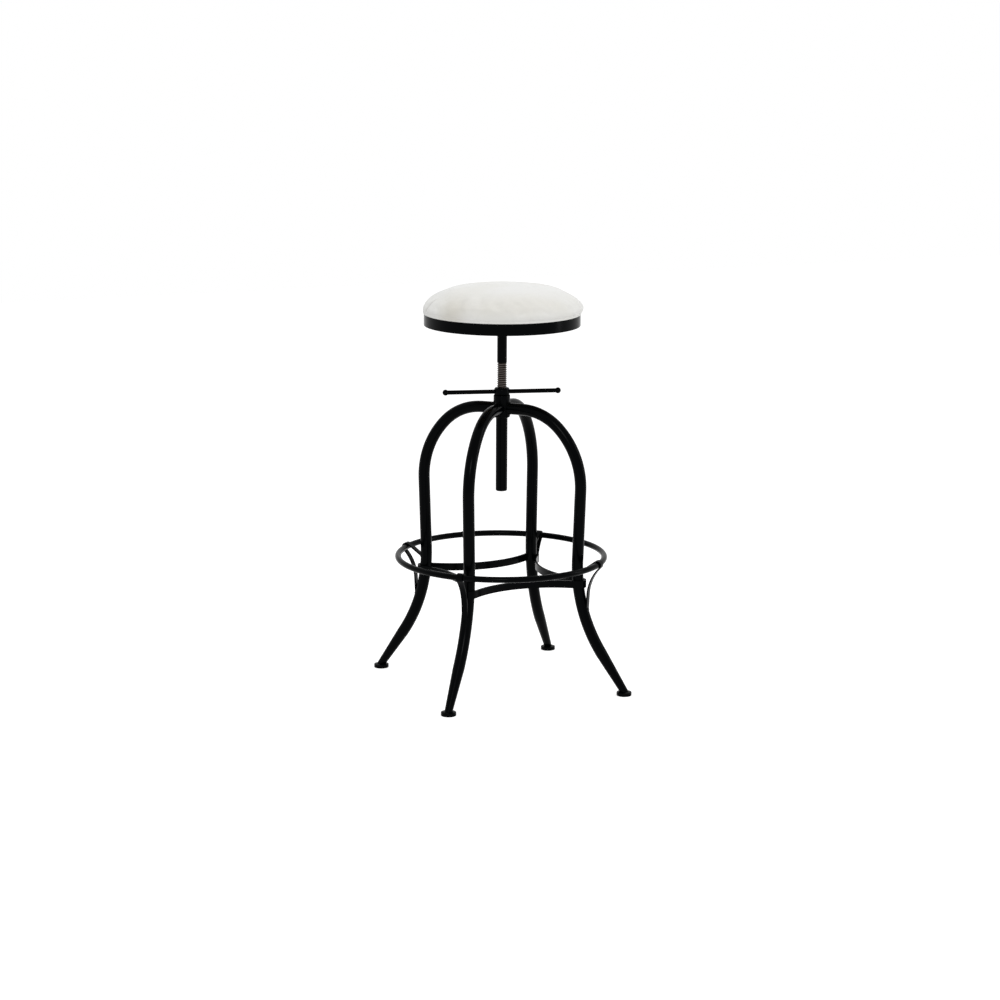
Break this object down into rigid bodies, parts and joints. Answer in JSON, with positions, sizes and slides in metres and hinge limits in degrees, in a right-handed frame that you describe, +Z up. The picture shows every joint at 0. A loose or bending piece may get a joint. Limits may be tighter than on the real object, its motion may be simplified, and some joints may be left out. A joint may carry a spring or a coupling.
{
  "type": "bar stool",
  "caption": "Screw-height bar stool: round upholstered seat on a threaded spindle, locking nut with a T-bar, arched tube legs, foot ring and bowed stretchers.",
  "frame": {"origin": "on the floor, on the spindle's axis, below the middle of the four feet", "axes": "+Z up along the spindle; the legs stand at 45 degrees to X and Y; -Y is the front"},
  "size_m": [0.4951, 0.4952, 0.9455],
  "materials": {
    "black_coated_steel": "semi-gloss powder coat",
    "dark_thread_steel": "bare rolled thread with oil",
    "bare_steel": "zinc plated",
    "board_wood": "raw plywood",
    "white_upholstery": "soft coated cloth"
  },
  "bodies": {
    "frame": {"hub_sleeve": "black_coated_steel", "thread_bush": "bare_steel", "guard_tube": "black_coated_steel", "guard_tube_cap": "black_coated_steel", "leg_front_left": "black_coated_steel", "leg_front_right": "black_coated_steel", "leg_back_right": "black_coated_steel", "leg_back_left": "black_coated_steel", "foot_pad_front_left": "black_coated_steel", "foot_pad_front_right": "black_coated_steel", "foot_pad_back_right": "black_coated_steel", "foot_pad_back_left": "black_coated_steel", "foot_ring": "black_coated_steel", "ring_bracket_front_left": "black_coated_steel", "ring_bracket_front_right": "black_coated_steel", "ring_bracket_back_right": "black_coated_steel", "ring_bracket_back_left": "black_coated_steel", "stretcher_front": "black_coated_steel", "stretcher_right": "black_coated_steel", "stretcher_back": "black_coated_steel", "stretcher_left": "black_coated_steel"},
    "lock_nut": {"lock_collar": "black_coated_steel", "lock_handle_left": "black_coated_steel", "lock_handle_right": "black_coated_steel"},
    "screw_end": {"stop_washer": "bare_steel"},
    "seat_and_spindle": {"spindle": "dark_thread_steel", "stop_screw": "bare_steel", "mounting_plate": "black_coated_steel", "plate_screws": "bare_steel", "seat_board": "board_wood", "seat_band": "black_coated_steel", "cushion": "white_upholstery", "cushion_piping": "white_upholstery"}
  },
  "joints": [
    {"name": "lock_turn", "type": "hinge", "parent": "frame", "child": "lock_nut", "pos_m": [0, 0, 0.685], "axis": [0, 0, 1], "range_deg": [0, 180]},
    {"name": "seat_height", "type": "slide", "parent": "frame", "child": "screw_end", "axis": [0, 0, 1], "range_m": [-0.055, 0.1]},
    {"name": "seat_turn", "type": "hinge", "parent": "screw_end", "child": "seat_and_spindle", "pos_m": [0, 0, 0.5345], "axis": [0, 0, 1], "range_deg": [-3960, 7200]}
  ],
  "couplings": [
    {"joint": "seat_height", "follows": "seat_turn", "m_per_rad": 0.00079577}
  ]
}
